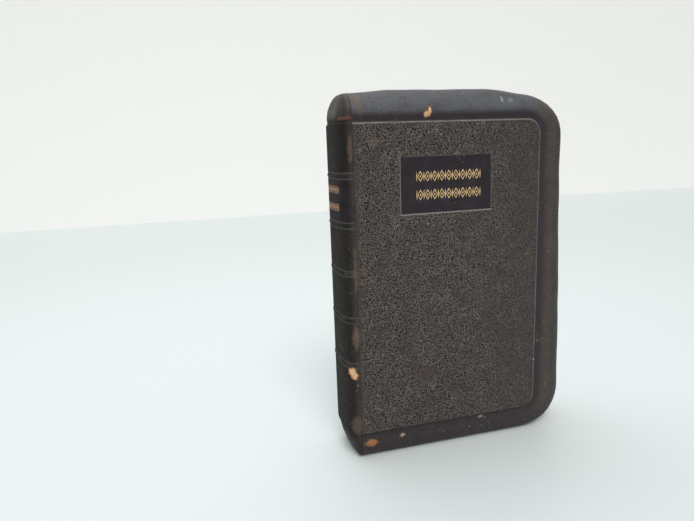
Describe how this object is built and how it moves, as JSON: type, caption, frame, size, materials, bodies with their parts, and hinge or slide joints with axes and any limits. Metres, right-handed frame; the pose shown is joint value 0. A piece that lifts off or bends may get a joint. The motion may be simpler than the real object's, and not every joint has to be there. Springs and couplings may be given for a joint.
{
  "type": "prayer book",
  "caption": "Small leather-bound book with soft flap edges folded over the leaves, a sunk title panel, a ribbed round spine and covers and leaves that open.",
  "frame": {"origin": "middle of the foot: the book stands on its tail", "axes": "+Z from tail to head, the front cover faces -Y, the spine is at -X and the fore edge at +X"},
  "size_m": [0.1128, 0.0296, 0.1706],
  "materials": {
    "cover_leather": "black-brown pebbled leather, worn",
    "board": "grey-brown millboard",
    "endpaper": "aged matt endpaper",
    "leaf_paper": "thin aged book paper",
    "kraft_paper": "brown lining paper",
    "mull_cloth": "open starched cotton",
    "linen": "unbleached linen",
    "endband_cloth": "striped cotton over a cord"
  },
  "bodies": {
    "spine": {"spine_leather": "cover_leather", "raised_band_1": "board", "raised_band_2": "board", "raised_band_3": "board", "raised_band_4": "board", "raised_band_5": "board", "spine_stiffener": "board", "back_lining": "kraft_paper", "mull": "mull_cloth", "sewing_tape_1": "linen", "sewing_tape_2": "linen", "sewing_tape_3": "linen", "sewing_thread": "linen", "head_band": "endband_cloth", "tail_band": "endband_cloth", "section_01_fold": "leaf_paper", "section_02_fold": "leaf_paper", "section_03_fold": "leaf_paper", "section_04_fold": "leaf_paper", "section_05_fold": "leaf_paper", "section_06_fold": "leaf_paper", "section_07_fold": "leaf_paper", "section_08_fold": "leaf_paper", "section_09_fold": "leaf_paper", "section_10_fold": "leaf_paper", "section_11_fold": "leaf_paper", "section_12_fold": "leaf_paper", "front_joint_leather": "cover_leather", "back_joint_leather": "cover_leather", "front_flyleaf_hinge": "endpaper", "back_flyleaf_hinge": "endpaper"},
    "front_cover": {"front_cover_leather": "cover_leather", "front_cover_board": "board", "front_pastedown": "endpaper"},
    "back_cover": {"back_cover_leather": "cover_leather", "back_cover_board": "board", "back_pastedown": "endpaper"},
    "front_flyleaf": {"front_flyleaf": "endpaper"},
    "back_flyleaf": {"back_flyleaf": "endpaper"},
    "section_01": {"section_01_leaves": "leaf_paper"},
    "section_02": {"section_02_leaves": "leaf_paper"},
    "section_03": {"section_03_leaves": "leaf_paper"},
    "section_04": {"section_04_leaves": "leaf_paper"},
    "section_05": {"section_05_leaves": "leaf_paper"},
    "section_06": {"section_06_leaves": "leaf_paper"},
    "section_07": {"section_07_leaves": "leaf_paper"},
    "section_08": {"section_08_leaves": "leaf_paper"},
    "section_09": {"section_09_leaves": "leaf_paper"},
    "section_10": {"section_10_leaves": "leaf_paper"},
    "section_11": {"section_11_leaves": "leaf_paper"},
    "section_12": {"section_12_leaves": "leaf_paper"}
  },
  "joints": [
    {"name": "front_cover_hinge", "type": "hinge", "parent": "spine", "child": "front_cover", "pos_m": [-0.05005, -0.0123, 0.085], "axis": [0, 0, -1], "range_deg": [0, 170], "deforming": ["front_joint_leather"]},
    {"name": "front_flyleaf_turn", "type": "hinge", "parent": "spine", "child": "front_flyleaf", "pos_m": [-0.05005, -0.01215, 0.085], "axis": [0, 0, -1], "range_deg": [0, 122.4], "deforming": ["front_flyleaf_hinge"]},
    {"name": "back_cover_hinge", "type": "hinge", "parent": "spine", "child": "back_cover", "pos_m": [-0.05005, 0.0123, 0.085], "axis": [0, 0, 1], "range_deg": [0, 170], "deforming": ["back_joint_leather"]},
    {"name": "back_flyleaf_turn", "type": "hinge", "parent": "spine", "child": "back_flyleaf", "pos_m": [-0.05005, 0.01215, 0.085], "axis": [0, 0, 1], "range_deg": [0, 122.4], "deforming": ["back_flyleaf_hinge"]},
    {"name": "section_01_turn", "type": "hinge", "parent": "spine", "child": "section_01", "pos_m": [-0.05086, -0.011, 0.085], "axis": [0, 0, -1], "range_deg": [0, 81.6], "deforming": ["section_01_fold"]},
    {"name": "section_02_turn", "type": "hinge", "parent": "spine", "child": "section_02", "pos_m": [-0.05128, -0.009, 0.085], "axis": [0, 0, -1], "range_deg": [0, 68], "deforming": ["section_02_fold"]},
    {"name": "section_03_turn", "type": "hinge", "parent": "spine", "child": "section_03", "pos_m": [-0.0516, -0.007, 0.085], "axis": [0, 0, -1], "range_deg": [0, 54.4], "deforming": ["section_03_fold"]},
    {"name": "section_04_turn", "type": "hinge", "parent": "spine", "child": "section_04", "pos_m": [-0.05185, -0.005, 0.085], "axis": [0, 0, -1], "range_deg": [0, 40.8], "deforming": ["section_04_fold"]},
    {"name": "section_05_turn", "type": "hinge", "parent": "spine", "child": "section_05", "pos_m": [-0.05201, -0.003, 0.085], "axis": [0, 0, -1], "range_deg": [0, 27.2], "deforming": ["section_05_fold"]},
    {"name": "section_06_turn", "type": "hinge", "parent": "spine", "child": "section_06", "pos_m": [-0.05209, -0.001, 0.085], "axis": [0, 0, -1], "range_deg": [0, 13.6], "deforming": ["section_06_fold"]},
    {"name": "section_07_turn", "type": "hinge", "parent": "spine", "child": "section_07", "pos_m": [-0.05209, 0.001, 0.085], "axis": [0, 0, 1], "range_deg": [0, 13.6], "deforming": ["section_07_fold"]},
    {"name": "section_08_turn", "type": "hinge", "parent": "spine", "child": "section_08", "pos_m": [-0.05201, 0.003, 0.085], "axis": [0, 0, 1], "range_deg": [0, 27.2], "deforming": ["section_08_fold"]},
    {"name": "section_09_turn", "type": "hinge", "parent": "spine", "child": "section_09", "pos_m": [-0.05185, 0.005, 0.085], "axis": [0, 0, 1], "range_deg": [0, 40.8], "deforming": ["section_09_fold"]},
    {"name": "section_10_turn", "type": "hinge", "parent": "spine", "child": "section_10", "pos_m": [-0.0516, 0.007, 0.085], "axis": [0, 0, 1], "range_deg": [0, 54.4], "deforming": ["section_10_fold"]},
    {"name": "section_11_turn", "type": "hinge", "parent": "spine", "child": "section_11", "pos_m": [-0.05128, 0.009, 0.085], "axis": [0, 0, 1], "range_deg": [0, 68], "deforming": ["section_11_fold"]},
    {"name": "section_12_turn", "type": "hinge", "parent": "spine", "child": "section_12", "pos_m": [-0.05086, 0.011, 0.085], "axis": [0, 0, 1], "range_deg": [0, 81.6], "deforming": ["section_12_fold"]}
  ],
  "couplings": [
    {"joint": "front_flyleaf_turn", "follows": "front_cover_hinge", "ratio": 0.72},
    {"joint": "back_flyleaf_turn", "follows": "back_cover_hinge", "ratio": 0.72},
    {"joint": "section_01_turn", "follows": "front_cover_hinge", "ratio": 0.48},
    {"joint": "section_02_turn", "follows": "front_cover_hinge", "ratio": 0.4},
    {"joint": "section_03_turn", "follows": "front_cover_hinge", "ratio": 0.32},
    {"joint": "section_04_turn", "follows": "front_cover_hinge", "ratio": 0.24},
    {"joint": "section_05_turn", "follows": "front_cover_hinge", "ratio": 0.16},
    {"joint": "section_06_turn", "follows": "front_cover_hinge", "ratio": 0.08},
    {"joint": "section_07_turn", "follows": "back_cover_hinge", "ratio": 0.08},
    {"joint": "section_08_turn", "follows": "back_cover_hinge", "ratio": 0.16},
    {"joint": "section_09_turn", "follows": "back_cover_hinge", "ratio": 0.24},
    {"joint": "section_10_turn", "follows": "back_cover_hinge", "ratio": 0.32},
    {"joint": "section_11_turn", "follows": "back_cover_hinge", "ratio": 0.4},
    {"joint": "section_12_turn", "follows": "back_cover_hinge", "ratio": 0.48}
  ]
}
